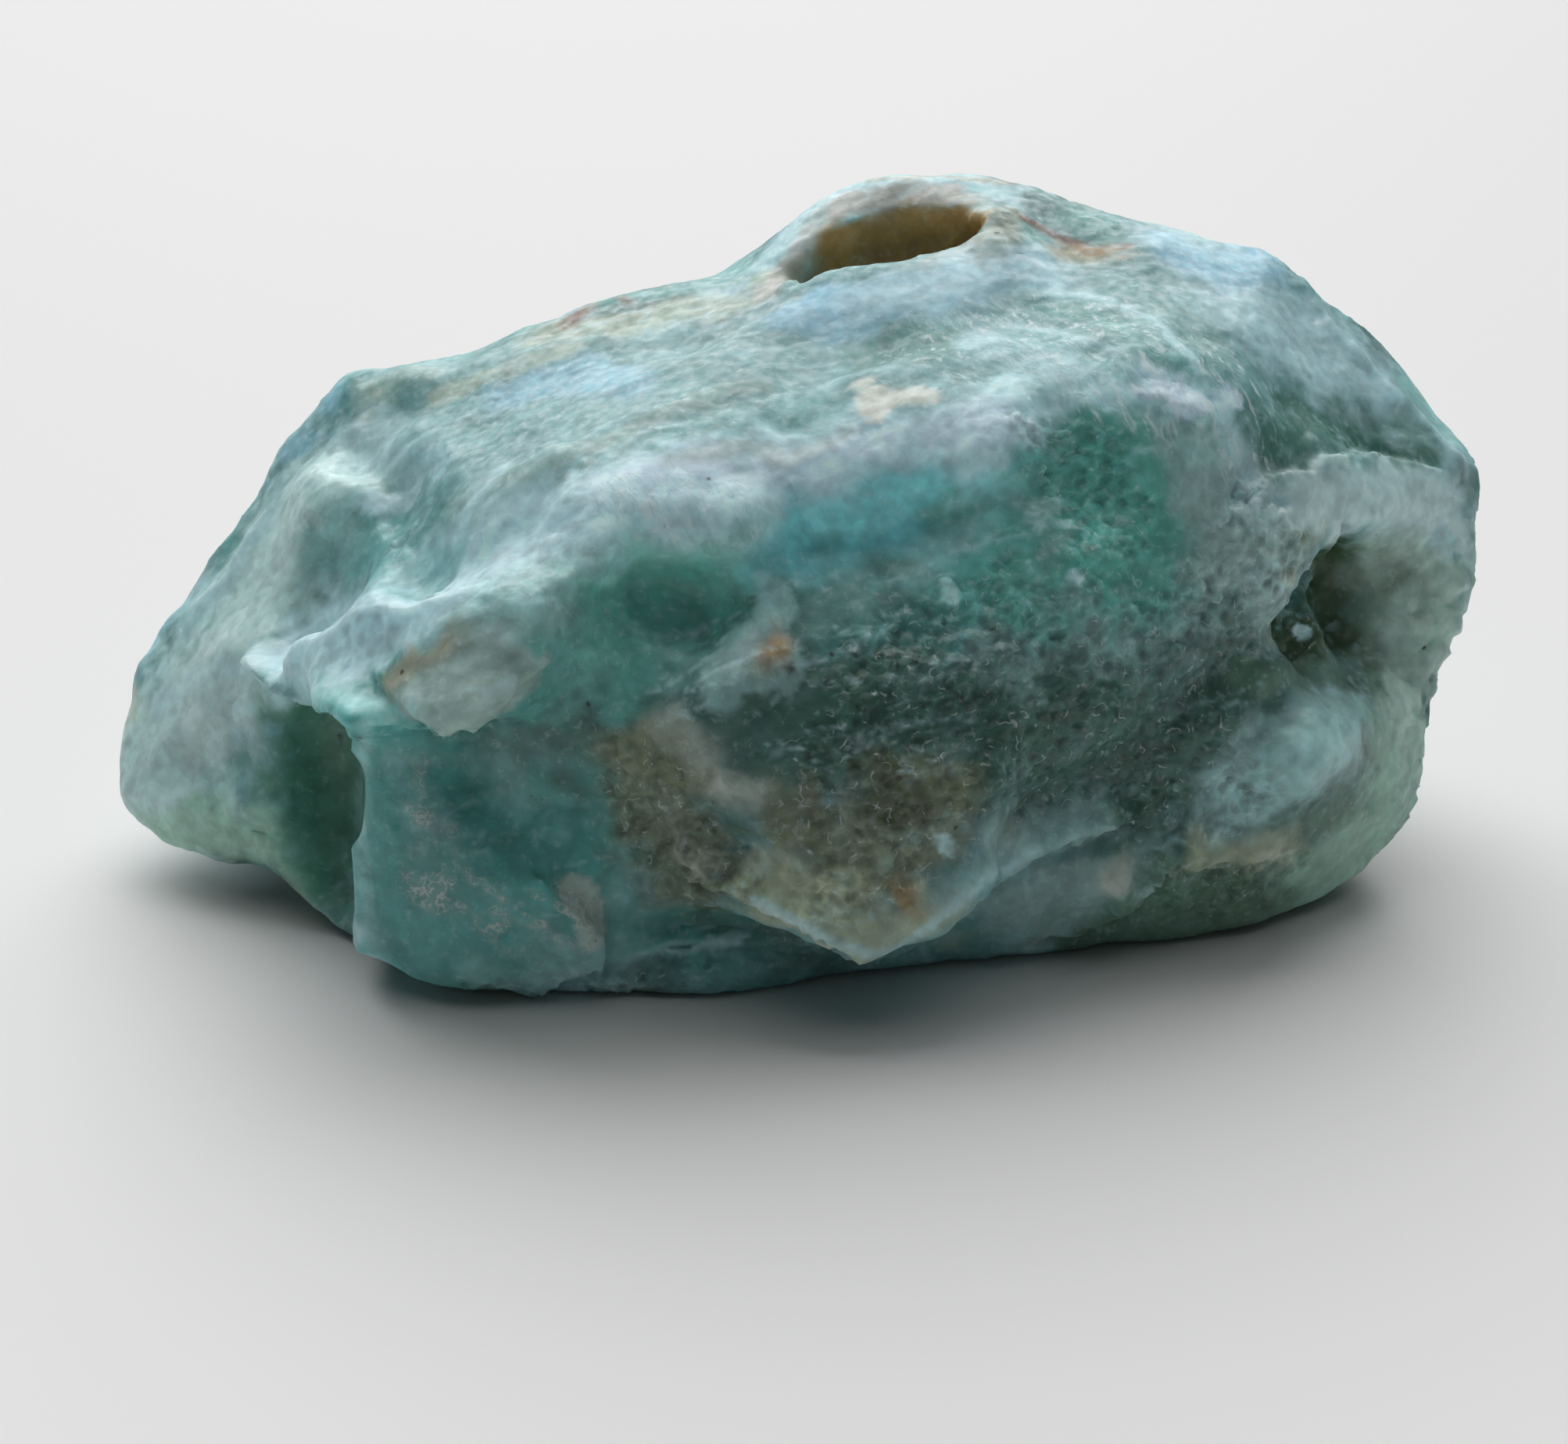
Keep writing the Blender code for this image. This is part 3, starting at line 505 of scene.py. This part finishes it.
def ray_through(pixel):
    """The direction from the camera to what shows at a pixel."""
    across = (pixel[0] - FRAME_WIDTH / 2) / FOCAL_PIXELS
    down = (pixel[1] - FRAME_HEIGHT / 2) / FOCAL_PIXELS
    direction = FORWARD + across * RIGHT - down * UP
    return direction / np.linalg.norm(direction)


def stepped(path):
    """The path's pixels at even steps, with both its ends."""
    pixels = []
    for start, end in zip(path[:-1], path[1:]):
        start, end = np.array(start, float), np.array(end, float)
        steps = max(1, round(np.linalg.norm(end - start) / STROKE_STEP))
        pixels += [start + (end - start) * step / steps for step in range(steps)]
    return pixels + [np.array(path[-1], float)]


def ragged(points, size, amount, shift):
    """Fractal noise around 0 at each point, with features of a size in mm, times an amount."""
    scaled = (points / size + shift).tolist()
    return amount * np.array([noise.fractal(point, *FRACTAL) for point in scaled])


def grained(points, along, length, width, shift):
    """Noise drawn out along one direction, as where crystals grew side by side."""
    along = np.array(along) / np.linalg.norm(along)
    lengthwise = (points @ along)[:, None] * along
    scaled = lengthwise / length + (points - lengthwise) / width
    return ragged(scaled, 1.0, 1.0, shift)


def grains(points, size, shift):
    """Broken facets: each cell is a tilted flat, a little proud or sunk. About -1 to 1."""
    scaled = points / size + shift
    found = [noise.voronoi(point)[1] for point in scaled.tolist()]
    centres = np.array([near[0][:] for near in found])
    across, deep, high = (centres * SCRAMBLE).T
    tilt = np.column_stack([
        np.sin(across * MIX[0][0] + deep * MIX[0][1]),
        np.sin(deep * MIX[1][0] + high * MIX[1][1]),
        np.sin(high * MIX[2][0] + across * MIX[2][1]),
    ])
    return np.sum((scaled - centres) * tilt, axis=1)


def smooth(values):
    """Eases values from 0 to 1, and holds those beyond."""
    values = np.clip(values, 0, 1)
    return values * values * (3 - 2 * values)


def clouded(points, size, shift, low, high):
    """A share that drifts over the stone: 0 where the noise is low, and 1 where it is high."""
    return smooth((ragged(points, size, 1.0, shift) - low) / (high - low))


def vectors_of(mesh, key):
    """One vector for each vertex of a mesh, as rows."""
    flat = np.empty(len(mesh.vertices) * 3)
    mesh.vertices.foreach_get(key, flat)
    return flat.reshape(-1, 3)


class Surface:
    """The stone's vertices, in mm, with what strokes need to find their place on it."""

    def __init__(self, mesh):
        self.points = vectors_of(mesh, "co") / MM
        self.normals = vectors_of(mesh, "normal")
        self.pixels = pixels_of(self.points)
        polygons = [tuple(polygon.vertices) for polygon in mesh.polygons]
        self.tree = BVHTree.FromPolygons(self.points.tolist(), polygons)

    @cached_property
    def drift(self):
        """A vector of noise at each point, which bends straight strokes into natural edges."""
        parts = [ragged(self.points, DRIFT_SIZE, 1.0, shift) for shift in DRIFT_SHIFTS]
        return np.column_stack(parts)

    @cached_property
    def tearing(self):
        """Fine noise, as a share of a stroke's reach, which breaks its edge up."""
        return ragged(self.points, TEARING_SIZE, TEARING_SHARE, TEARING_SHIFT)

    def landed(self, path):
        """The path's pixels that show the stone, and the places on it that they show."""
        pixels, places = [], []
        for pixel in stepped(path):
            ray = ray_through(pixel).tolist()
            hit = self.tree.ray_cast(CAMERA_PLACE.tolist(), ray)[0]
            if hit is not None:
                pixels.append(pixel)
                places.append(np.array(hit))
        return pixels, places

    def near(self, path, reach, bend=0.0):
        """Vertices within reach of a path, which noise bends by about a length in mm.

        Gives their numbers, their distance, and 1 or -1 for the side of the path they lie on.
        """
        pixels, places = self.landed(path)
        margin = reach + DRIFT_MOST * bend
        low = np.min(places, axis=0) - margin
        high = np.max(places, axis=0) + margin
        boxed = np.all((self.points > low) & (self.points < high), axis=1)
        chosen = np.nonzero(boxed)[0]
        least = np.full(len(chosen), np.inf)
        side = np.ones(len(chosen))
        for index in range(len(places) - 1):
            start, along = places[index], places[index + 1] - places[index]
            offset = self.points[chosen] + bend * self.drift[chosen] - start
            share = np.clip(offset @ along / max(along @ along, 1e-9), 0, 1)
            distance = np.linalg.norm(offset - share[:, None] * along, axis=1)
            step = pixels[index + 1] - pixels[index]
            aside = self.pixels[chosen] - pixels[index]
            turned = np.sign(step[1] * aside[:, 0] - step[0] * aside[:, 1])
            closer = distance < least
            side = np.where(closer, turned, side)
            least = np.minimum(least, distance)
        inside = least < reach
        return chosen[inside], least[inside], side[inside]


def marked(surface, strokes, least=0.0):
    """1 near each stroke, and at least the least share everywhere."""
    share = np.zeros(len(surface.points)) + least
    for reach, path in strokes:
        chosen, distance, _ = surface.near(path, reach, MARK_BEND)
        mark = smooth(MARK_STEEPNESS * (1 - distance / reach))
        share[chosen] = np.maximum(share[chosen], mark)
    return share


def granular(surface):
    """How granular the stone is at each vertex, from 0 to 1."""
    patches = clouded(surface.points, **GRIT_PATCHES)
    return marked(surface, GRANULAR, GRIT_LEAST + GRIT_MORE * patches)


def baked(obj):
    """Applies an object's modifiers."""
    graph = bpy.context.evaluated_depsgraph_get()
    mesh = bpy.data.meshes.new_from_object(obj.evaluated_get(graph))
    obj.modifiers.clear()
    obj.data = mesh
    return obj


def softened(stone, passes, group=""):
    """Smooths the mesh, or a vertex group of it, and applies its modifiers."""
    soften = stone.modifiers.new("soften", "SMOOTH")
    soften.vertex_group = group
    soften.factor = SMOOTHING
    soften.iterations = passes
    return baked(stone)


def remeshed(stone, grain, passes):
    """Rebuilds the mesh with even faces of one size, and smooths it."""
    remesh = stone.modifiers.new("remesh", "REMESH")
    remesh.mode = "VOXEL"
    remesh.voxel_size = grain * MM
    return softened(stone, passes)


def rough_stone():
    """The CAD stone, evened out, with its worn edges rounded off, ready for carving."""
    stone = bpy.data.objects.new("stone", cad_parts["aragonite"].data.copy())
    stone.data.transform(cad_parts["aragonite"].matrix_world)
    bpy.context.scene.collection.objects.link(stone)
    remeshed(stone, ROUGH_GRAIN, ROUGH_PASSES)
    worn = stone.vertex_groups.new(name="worn")
    for index, share in enumerate(marked(Surface(stone.data), MELTED)):
        worn.add([index], share, "REPLACE")
    softened(stone, MELTING_PASSES, "worn")
    stone.vertex_groups.clear()
    return remeshed(stone, FINE_GRAIN, FINE_PASSES)


def move(stone, surface, way):
    """Moves the mesh's vertices, and lets none sink under the floor."""
    moved = surface.points + way
    moved[:, 2] = np.maximum(moved[:, 2], 0)
    stone.data.vertices.foreach_set("co", (moved * MM).ravel())
    stone.data.update()


def ledge(signed, reach):
    """A ledge's height by the distance above its path, where below is negative."""
    over = smooth(signed / LEDGE_RISE + 0.5) * smooth(1 - signed / reach)
    cut = smooth(1 - np.abs(signed + UNDERCUT_MIDDLE) / UNDERCUT_REACH)
    return over - UNDERCUT_SHARE * cut


def carve(surface):
    """How each vertex moves under the carving strokes."""
    moved = np.zeros_like(surface.points)
    for number, (kind, reach, height, wander, path) in enumerate(CARVING.values()):
        chosen, distance, side = surface.near(path, reach + wander)
        shift = number * WANDER_SHIFT
        distance = distance + ragged(surface.points[chosen], WANDER_SIZE, wander, shift)
        if kind == "crest":
            shape = np.clip(1 - np.maximum(distance, 0) / reach, 0, 1) ** CREST_POWER
        elif kind == "ledge":
            shape = ledge(distance * side, reach)
        else:
            shape = smooth(1 - distance / reach)
        way = WAYS.get(kind, surface.normals[chosen])
        moved[chosen] += height * shape[:, None] * way
    return moved


def facing(surface, axis, bias):
    """How much the stone faces along an axis at each vertex, from 0 to 1."""
    return smooth(surface.normals[:, axis] * FACING_STEEPNESS + bias)


def broken_face(surface, grit):
    """Relief: swells, chips, grains, streaks on top, teeth at the right, facets behind."""
    points = surface.points
    across, high = points[:, 0], points[:, 2]
    top = facing(surface, UPWARD, TOP_BIAS)
    end = smooth((across - END_START) / FADE) * smooth((END_TOP - high) / FADE)
    back = facing(surface, BACKWARD, BACK_BIAS) * smooth((BACK_TOP - high) / TOP_FADE)
    back *= smooth((BACK_REACH - np.abs(across)) / FADE)
    chipped = points + ragged(points, **CHIP_BENDS)[:, None]
    faceted = points + ragged(points, **FACET_BENDS)[:, None]
    streaks = 0.5 - 2 * np.abs(grained(points, **STREAKS))

    rise = ragged(points, **SWELLS)
    rise += (CHIP_HEIGHT + CHIP_MORE * grit) * grains(chipped, **CHIPS)
    rise += (GRAIN_HEIGHT + GRAIN_MORE * grit ** 2) * grains(points, **GRAINS)
    rise += TOOTH_HEIGHT * end * grains(points, **TEETH)
    rise += FACET_HEIGHT * back * grains(faceted, **FACETS)
    rise += STREAK_HEIGHT * top * (1 - STREAK_LESS * grit) * streaks
    return rise[:, None] * surface.normals


def thin_out(stone):
    """Brings the mesh to its triangle count, keeping the sharp places."""
    count = sum(len(face.vertices) - 2 for face in stone.data.polygons)
    if count > MOST_TRIANGLES:
        decimate = stone.modifiers.new("thin_out", "DECIMATE")
        decimate.ratio = MOST_TRIANGLES / count
        decimate.use_collapse_triangulate = True
        baked(stone)


def linear(name):
    """A colour of the palette, as the amounts of light that Blender works with."""
    values = np.array(PALETTE[name]) / 255
    return np.where(values < 0.04045, values / 12.92, ((values + 0.055) / 1.055) ** 2.4)


def veined(colours, share):
    """Lays pale veins over the colours."""
    return colours + VEIN_STRENGTH * share[:, None] * (linear("snow") - colours)


def natural_colours(points):
    """Drifting bands, patches and veins, over the whole stone."""
    colours = np.tile(linear("sea"), (len(points), 1))
    for name, size, shift, low, high, strength in NATURAL:
        share = strength * clouded(points, size, shift, low, high)[:, None]
        colours += share * (linear(name) - colours)
    veins = np.abs(ragged(points, VEIN_SIZE, 1.0, VEIN_SHIFT))
    return veined(colours, smooth(1 - veins / VEIN_NEAR))


def stain_crater(colours, surface):
    """Colours the crater's wall, which faces its middle from nearby."""
    inward = CRATER_PLACE - surface.points
    away = np.linalg.norm(inward, axis=1)
    turned = np.sum(inward * surface.normals, axis=1) / away
    wall = smooth(turned * CRATER_STEEPNESS + CRATER_BIAS)
    inside = wall * smooth(CRATER_REACH - away)
    colours += CRATER_STAIN * inside[:, None] * (linear("brown") - colours)


def cover(colours, surface, name, strength, reach, edge, path):
    """Lays one stroke of colour, with a torn edge."""
    bend = min(BEND_MOST, BEND_SHARE * reach)
    chosen, distance, _ = surface.near(path, TORN_REACH * reach, bend)
    torn = distance / reach + surface.tearing[chosen]
    share = strength * smooth((1 + edge / 4 - torn) / edge)
    colours[chosen] += share[:, None] * (linear(name) - colours[chosen])


def coloured(surface):
    """The stone's colour at each vertex."""
    colours = natural_colours(surface.points)
    stain_crater(colours, surface)
    for name, strength, reach, path, *crisp in COLOURING:
        edge = CRISP_EDGE if crisp else SOFT_EDGE
        cover(colours, surface, name, strength, reach, edge, path)
    streaks = np.abs(grained(surface.points, **TOP_VEINS))
    top = facing(surface, UPWARD, VEINED_BIAS)
    return veined(colours, smooth(1 - streaks / STREAK_NEAR) * top)


def store(mesh, name, shares):
    """Keeps a share at each vertex, for the material to read."""
    mesh.attributes.new(name, "FLOAT", "POINT").data.foreach_set("value", shares)


def store_colours(mesh, name, colours):
    """Keeps a colour at each vertex."""
    opaque = np.column_stack([colours, np.ones(len(colours))])
    layer = mesh.attributes.new(name, "FLOAT_COLOR", "POINT")
    layer.data.foreach_set("color", opaque.ravel())


class Nodes:
    """A short way to write a node tree: each call adds to it and gives the result."""

    def __init__(self, material):
        self.tree = material.node_tree

    def add(self, kind, inputs, output=0, **settings):
        """Adds a node. Its inputs, by name or number, are numbers or other nodes' outputs."""
        node = self.tree.nodes.new(kind)
        for key, value in settings.items():
            setattr(node, key, value)
        for key, value in inputs.items():
            if isinstance(value, bpy.types.NodeSocket):
                self.tree.links.new(value, node.inputs[key])
            else:
                node.inputs[key].default_value = value
        return node.outputs[output]

    def attribute(self, name, output="Fac"):
        return self.add("ShaderNodeAttribute", {}, output, attribute_name=name)

    def noise(self, place, per_mm, detail, roughness=0.5, output="Fac"):
        inputs = {"Vector": place, "Scale": per_mm, "Detail": detail, "Roughness": roughness}
        return self.add("ShaderNodeTexNoise", inputs, output)

    def cells(self, place, output, per_mm):
        return self.add("ShaderNodeTexVoronoi", {"Vector": place, "Scale": per_mm}, output)

    def chance(self, place, per_mm):
        """A number from 0 to 1 for each cell."""
        return self.add("ShaderNodeSeparateColor", {0: self.cells(place, "Color", per_mm)})

    def math(self, operation, *values):
        return self.add("ShaderNodeMath", dict(enumerate(values)), operation=operation)

    def times(self, first, second):
        return self.math("MULTIPLY", first, second)

    def vectors(self, operation, *values, output=0):
        inputs = dict(enumerate(values))
        return self.add("ShaderNodeVectorMath", inputs, output, operation=operation)

    def scaled(self, vector, factor):
        inputs = {0: vector, "Scale": factor}
        return self.add("ShaderNodeVectorMath", inputs, operation="SCALE")

    def swayed(self, place, amount, per_mm, detail):
        """The place, moved about by coloured noise."""
        sway = self.noise(place, per_mm, detail, output="Color")
        return self.vectors("MULTIPLY_ADD", sway, (amount, amount, amount), place)

    def along(self, place, way, share):
        """The place, shrunk one way by a share, so that textures draw out that way."""
        way = Vector(way).normalized()
        length = self.vectors("DOT_PRODUCT", place, way, output="Value")
        return self.vectors("ADD", place, self.scaled(tuple(-share * way), length))

    def facets(self, place, per_mm):
        """A height that makes each cell a flat, tilted its own way."""
        away = self.vectors("SUBTRACT", place, self.cells(place, "Position", per_mm))
        chances = self.cells(place, "Color", per_mm)
        tilt = self.vectors("SUBTRACT", chances, (0.5, 0.5, 0.5))
        return self.vectors("DOT_PRODUCT", away, tilt, output="Value")

    def hairline(self, place, per_mm, detail):
        """How far noise is from its middle, which it crosses in thin curved lines."""
        halfway = self.math("SUBTRACT", self.noise(place, per_mm, detail), 0.5)
        return self.math("ABSOLUTE", halfway)

    def spread(self, value, old, new=FULL):
        """Maps one range of values to another, with soft ends."""
        inputs = {"Value": value, "From Min": old[0], "From Max": old[1],
                  "To Min": new[0], "To Max": new[1]}
        return self.add("ShaderNodeMapRange", inputs, interpolation_type="SMOOTHSTEP")

    def blend(self, kind, share, first, second):
        inputs = {"Factor": share, 6: first, 7: second}
        return self.add("ShaderNodeMix", inputs, 2, data_type="RGBA", blend_type=kind)

    def shade(self, colour, value, old, new, share=1.0):
        """Darkens or lightens a colour: maps a range of values to one of brightness."""
        brightness = self.spread(value, old, new)
        grey = self.add("ShaderNodeCombineColor", dict.fromkeys(range(3), brightness))
        return self.blend("MULTIPLY", share, colour, grey)

    def bump(self, height, strength, millimetres, normal=None, **settings):
        """Relief, on top of another bump's if one is given."""
        inputs = {"Strength": strength, "Distance": millimetres * MM, "Height": height}
        if normal is not None:
            inputs["Normal"] = normal
        return self.add("ShaderNodeBump", inputs, **settings)


def mottled(nodes, place, bent, grit, grain_depth, colour):
    """Clouds, crystals of different tones, grains, sugar and a pale veil."""
    cloud = nodes.noise(place, per_mm=0.35, detail=2)
    colour = nodes.shade(colour, cloud, MIDDLE, (0.86, 1.06))
    colour = nodes.shade(colour, nodes.chance(bent, per_mm=1.3), FULL, (0.92, 1.05))
    patch = nodes.noise(place, per_mm=0.5, detail=2)
    grainy = nodes.times(grit, nodes.spread(patch, (0.35, 0.65), (0.35, 1.0)))
    colour = nodes.shade(colour, grain_depth, (0.1, 0.75), (0.66, 1.28), grainy)
    sugary = nodes.spread(grit, (0.4, 1.0))
    colour = nodes.shade(colour, nodes.chance(bent, per_mm=3.3), FULL, (0.88, 1.14), sugary)
    mottle = nodes.noise(place, per_mm=1.7, detail=3)
    colour = nodes.shade(colour, mottle, MIDDLE, (0.88, 1.06))
    veil = nodes.spread(nodes.noise(place, per_mm=0.42, detail=2), (0.5, 0.75))
    return nodes.blend("SCREEN", veil, colour, VEIL_COLOUR)


def needled(nodes, fibre, needle, colour):
    """Pale and dark needles, side by side."""
    pale = nodes.times(fibre, nodes.spread(needle, (0.52, 0.68), (0.0, 0.7)))
    colour = nodes.blend("MIX", pale, colour, PALE_NEEDLE)
    dark = nodes.times(fibre, nodes.spread(needle, (0.3, 0.46), (0.4, 0.0)))
    return nodes.blend("MIX", dark, colour, DARK_NEEDLE)


def crusted(nodes, place, curl):
    """Where the curls of the fine crust lie, from 0 to 1."""
    patch = nodes.noise(place, per_mm=0.9, detail=2)
    tuft = nodes.times(curl, nodes.spread(patch, (0.42, 0.56)))
    curled = nodes.swayed(place, amount=0.9, per_mm=1.6, detail=1.0)
    crease = nodes.hairline(curled, per_mm=2.0, detail=2)
    return nodes.times(nodes.spread(crease, (0.01, 0.07), (1.0, 0.25)), tuft)


def glinting(nodes, place, grit, colour):
    """Short curved glints on the grains, and pale flecks everywhere."""
    aside = nodes.vectors("ADD", place, (30.0, 10.0, 20.0))
    arc = nodes.spread(nodes.hairline(aside, per_mm=1.5, detail=1), (0.006, 0.026), (0.42, 0.0))
    short = nodes.spread(nodes.noise(place, per_mm=2.4, detail=0), (0.6, 0.68))
    glints = nodes.times(arc, nodes.times(grit, short))
    colour = nodes.blend("MIX", glints, colour, GLINT_COLOUR)
    flecks = nodes.noise(aside, per_mm=2.1, detail=4, roughness=0.65)
    return nodes.blend("SCREEN", nodes.spread(flecks, (0.54, 0.7)), colour, FLECK_COLOUR)


def specked(nodes, bent, colour):
    """Dark specks, in a few of the cells."""
    spot = nodes.cells(bent, "Distance", per_mm=0.42)
    spot = nodes.spread(spot, (0.03, 0.07), (1.0, 0.0))
    pick = nodes.spread(nodes.chance(bent, per_mm=0.42), (0.68, 0.72), (0.0, 0.85))
    return nodes.blend("MIX", nodes.times(spot, pick), colour, SPECK_COLOUR)


def fine_relief(nodes, place, bent, grit, fibre, grain_depth, needle, curls):
    """Grains, facets, needles, curls and a fine unevenness, as bumps."""
    rounding = nodes.spread(grit, (0.2, 1.0), (0.05, 0.7))
    normal = nodes.bump(grain_depth, rounding, millimetres=0.2, invert=True)
    breaking = nodes.spread(grit, (0.2, 1.0), (0.1, 0.8))
    facets = nodes.facets(bent, per_mm=2.7)
    normal = nodes.bump(facets, breaking, millimetres=0.3, normal=normal)
    combing = nodes.times(fibre, 0.5)
    normal = nodes.bump(needle, combing, millimetres=0.2, normal=normal)
    normal = nodes.bump(curls, strength=0.5, millimetres=0.1, normal=normal)
    uneven = nodes.noise(place, per_mm=3.0, detail=2)
    return nodes.bump(uneven, strength=0.2, millimetres=0.1, normal=normal)


def stone_material():
    """Cloudy, translucent stone, over the colours and the shares kept at the vertices."""
    material = bpy.data.materials.new("aragonite")
    material.use_nodes = True
    nodes = Nodes(material)
    place = nodes.scaled(nodes.add("ShaderNodeTexCoord", {}, "Object"), 1 / MM)
    bent = nodes.swayed(place, amount=0.6, per_mm=0.8, detail=2.0)
    grit = nodes.attribute("grit")
    fibre = nodes.attribute("fibre")
    grain_depth = nodes.cells(bent, "Distance", per_mm=1.6)
    combed = nodes.along(bent, NEEDLE_WAY, NEEDLE_STRETCH)
    needle = nodes.noise(combed, per_mm=2.7, detail=3, roughness=0.6)
    curls = crusted(nodes, place, nodes.attribute("curl"))

    colour = nodes.attribute("tint", "Color")
    colour = mottled(nodes, place, bent, grit, grain_depth, colour)
    colour = needled(nodes, fibre, needle, colour)
    colour = nodes.blend("MIX", nodes.times(curls, CRUST_STRENGTH), colour, CRUST_COLOUR)
    colour = glinting(nodes, place, grit, colour)
    colour = nodes.blend("DARKEN", 1.0, colour, BRIGHTEST)
    colour = specked(nodes, bent, colour)
    normal = fine_relief(nodes, place, bent, grit, fibre, grain_depth, needle, curls)
    polish = nodes.noise(place, per_mm=2.0, detail=2)

    surface = material.node_tree.nodes["Principled BSDF"]
    links = material.node_tree.links
    links.new(colour, surface.inputs["Base Color"])
    links.new(normal, surface.inputs["Normal"])
    links.new(nodes.spread(polish, MIDDLE, ROUGHNESS), surface.inputs["Roughness"])
    surface.inputs["Subsurface Weight"].default_value = TRANSLUCENCE
    surface.inputs["Subsurface Radius"].default_value = LIGHT_REACH
    surface.inputs["Subsurface Scale"].default_value = 1.0
    return material


def make_camera():
    data = bpy.data.cameras.new("camera")
    data.sensor_width = SENSOR_WIDTH
    data.lens = SENSOR_WIDTH * FOCAL_PIXELS / FRAME_WIDTH
    data.clip_start = CLIP_START
    camera = bpy.data.objects.new("camera", data)
    camera.location = Vector(CAMERA_PLACE) * MM
    camera.rotation_euler = (math.pi / 2 - CAMERA_DIP, 0, 0)
    bpy.context.scene.collection.objects.link(camera)
    bpy.context.scene.camera = camera


def make_floor():
    bm = bmesh.new()
    bmesh.ops.create_grid(bm, x_segments=1, y_segments=1, size=FLOOR_HALF)
    mesh = bpy.data.meshes.new("floor")
    bm.to_mesh(mesh)
    bm.free()
    floor = bpy.data.objects.new("floor", mesh)
    bpy.context.scene.collection.objects.link(floor)
    material = bpy.data.materials.new("floor")
    material.use_nodes = True
    surface = material.node_tree.nodes["Principled BSDF"]
    surface.inputs["Base Color"].default_value = FLOOR_COLOUR
    surface.inputs["Roughness"].default_value = FLOOR_ROUGHNESS
    floor.data.materials.append(material)


def make_sun(name, direction, strength, breadth):
    data = bpy.data.lights.new(name, "SUN")
    data.energy = strength
    data.angle = math.radians(breadth)
    sun = bpy.data.objects.new(name, data)
    sun.rotation_euler = Vector(direction).to_track_quat("-Z", "Y").to_euler()
    bpy.context.scene.collection.objects.link(sun)


def make_light():
    """A broad window behind the stone, a bright ceiling over it, and little from the front."""
    bpy.context.scene.view_settings.view_transform = "Standard"
    make_sun("window", *WINDOW)
    make_sun("ceiling", *CEILING)
    world = bpy.data.worlds.new("room")
    world.use_nodes = True
    background = world.node_tree.nodes["Background"]
    background.inputs["Color"].default_value = ROOM_COLOUR
    background.inputs["Strength"].default_value = ROOM_STRENGTH
    bpy.context.scene.world = world


make_camera()
make_floor()
make_light()
stone = rough_stone()
surface = Surface(stone.data)
move(stone, surface, carve(surface))
surface = Surface(stone.data)
move(stone, surface, broken_face(surface, granular(surface)))
thin_out(stone)
surface = Surface(stone.data)
store_colours(stone.data, "tint", coloured(surface))
store(stone.data, "grit", granular(surface))
store(stone.data, "fibre", marked(surface, FIBROUS))
store(stone.data, "curl", marked(surface, CURLED))
stone.data.materials.clear()
stone.data.materials.append(stone_material())
for polygon in stone.data.polygons:
    polygon.use_smooth = True
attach(stone, "root")
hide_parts("aragonite")
